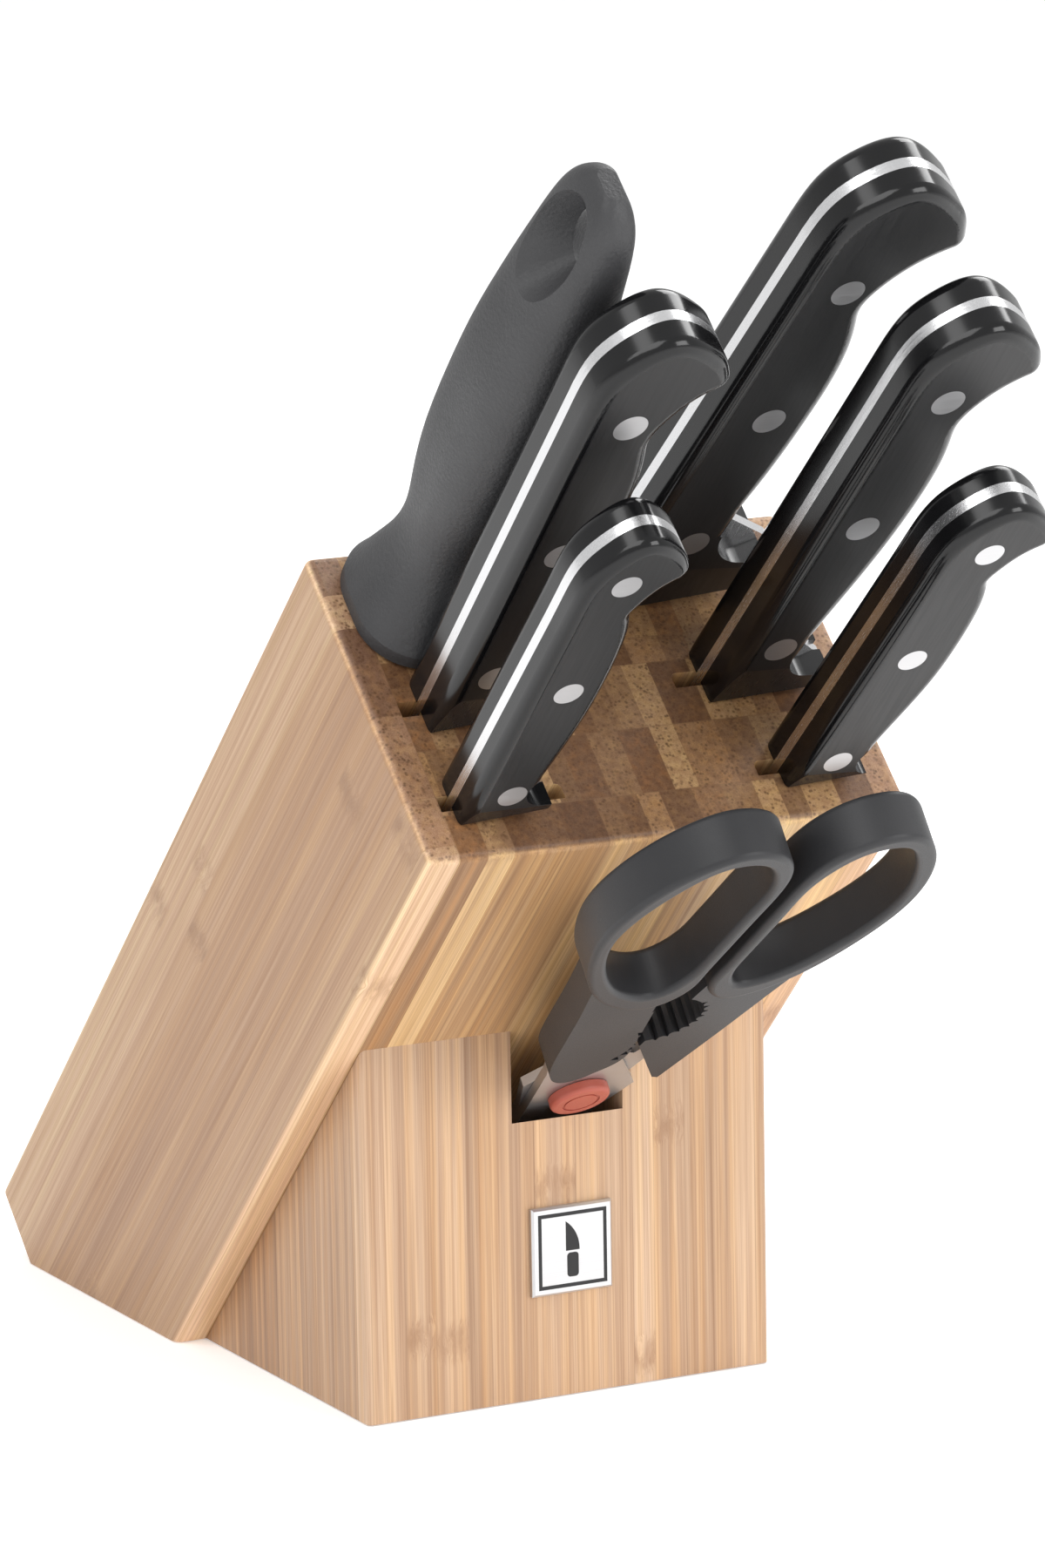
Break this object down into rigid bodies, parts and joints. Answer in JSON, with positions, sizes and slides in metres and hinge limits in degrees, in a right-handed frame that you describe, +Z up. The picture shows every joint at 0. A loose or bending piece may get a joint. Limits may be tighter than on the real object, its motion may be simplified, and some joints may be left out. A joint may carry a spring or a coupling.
{
  "type": "knife block set",
  "caption": "Slanted bamboo knife block on a triangular foot, holding riveted kitchen knives, a sharpening steel and kitchen shears that all lift out.",
  "frame": {"origin": "middle of the slanted block's underside, on the table", "axes": "+Z up; -Y towards the front, where the block leans and the foot stands; +X to the right seen from the front"},
  "size_m": [0.123, 0.3132, 0.2944],
  "materials": {
    "bamboo_block": "satin oiled bamboo, fine straight grain",
    "bamboo_foot": "satin oiled bamboo, fine straight grain",
    "badge_metal": "satin silver plate",
    "badge_black": "black filled lines",
    "knife_steel": "finely polished stainless steel",
    "handle_black": "polished black, satin on the flat cheeks",
    "rivet_steel": "satin, flush",
    "rod_steel": "fine lengthwise ribs",
    "steel_handle_black": "fine pebbled grain",
    "shears_steel": "ground stainless steel",
    "shears_black": "matte charcoal moulding",
    "cap_red": "satin coral red"
  },
  "bodies": {
    "block": {"back_slab": "bamboo_block", "second_slab": "bamboo_block", "third_slab": "bamboo_block", "front_slab": "bamboo_block", "left_side_board": "bamboo_block", "right_side_board": "bamboo_block", "foot": "bamboo_foot", "badge_plate": "badge_metal", "badge_enamel": "badge_black"},
    "chef_knife": {"chef_knife_blade": "knife_steel", "chef_knife_front_scale": "handle_black", "chef_knife_back_scale": "handle_black", "chef_knife_rivets": "rivet_steel"},
    "bread_knife": {"bread_knife_blade": "knife_steel", "bread_knife_front_scale": "handle_black", "bread_knife_back_scale": "handle_black", "bread_knife_rivets": "rivet_steel"},
    "carving_knife": {"carving_knife_blade": "knife_steel", "carving_knife_front_scale": "handle_black", "carving_knife_back_scale": "handle_black", "carving_knife_rivets": "rivet_steel"},
    "paring_knife": {"paring_knife_blade": "knife_steel", "paring_knife_front_scale": "handle_black", "paring_knife_back_scale": "handle_black", "paring_knife_rivets": "rivet_steel"},
    "utility_knife": {"utility_knife_blade": "knife_steel", "utility_knife_front_scale": "handle_black", "utility_knife_back_scale": "handle_black", "utility_knife_rivets": "rivet_steel"},
    "sharpening_steel": {"sharpening_rod": "rod_steel", "steel_handle": "steel_handle_black"},
    "shears_pivot": {"shears_pivot_screw": "shears_steel", "shears_pivot_cap": "cap_red", "shears_pivot_nut": "shears_steel"},
    "shears_front_half": {"shears_front_blade": "shears_steel", "shears_front_handle": "shears_black"},
    "shears_back_half": {"shears_back_blade": "shears_steel", "shears_back_handle": "shears_black"}
  },
  "joints": [
    {"name": "chef_knife_slide", "type": "slide", "parent": "block", "child": "chef_knife", "axis": [0.0819, -0.7047, 0.7047], "range_m": [0, 0.22]},
    {"name": "bread_knife_slide", "type": "slide", "parent": "block", "child": "bread_knife", "axis": [-0.0175, -0.707, 0.707], "range_m": [0, 0.22]},
    {"name": "carving_knife_slide", "type": "slide", "parent": "block", "child": "carving_knife", "axis": [0.0471, -0.7063, 0.7063], "range_m": [0, 0.2]},
    {"name": "paring_knife_slide", "type": "slide", "parent": "block", "child": "paring_knife", "axis": [0, -0.7071, 0.7071], "range_m": [0, 0.11]},
    {"name": "utility_knife_slide", "type": "slide", "parent": "block", "child": "utility_knife", "axis": [0.0576, -0.7059, 0.7059], "range_m": [0, 0.14]},
    {"name": "sharpening_steel_slide", "type": "slide", "parent": "block", "child": "sharpening_steel", "axis": [-0.0175, -0.707, 0.707], "range_m": [0, 0.215]},
    {"name": "shears_slide", "type": "slide", "parent": "block", "child": "shears_pivot", "axis": [0, -0.8141, 0.5807], "range_m": [0, 0.14]},
    {"name": "shears_front_half_hinge", "type": "hinge", "parent": "shears_pivot", "child": "shears_front_half", "pos_m": [0.0008, -0.1335, 0.07375], "axis": [0, -0.5807, -0.8141], "range_deg": [0, 5]},
    {"name": "shears_back_half_hinge", "type": "hinge", "parent": "shears_pivot", "child": "shears_back_half", "pos_m": [0.0008, -0.1335, 0.07375], "axis": [0, -0.5807, -0.8141], "range_deg": [-5, 0]}
  ],
  "couplings": [
    {"joint": "shears_back_half_hinge", "follows": "shears_front_half_hinge", "ratio": -1}
  ]
}
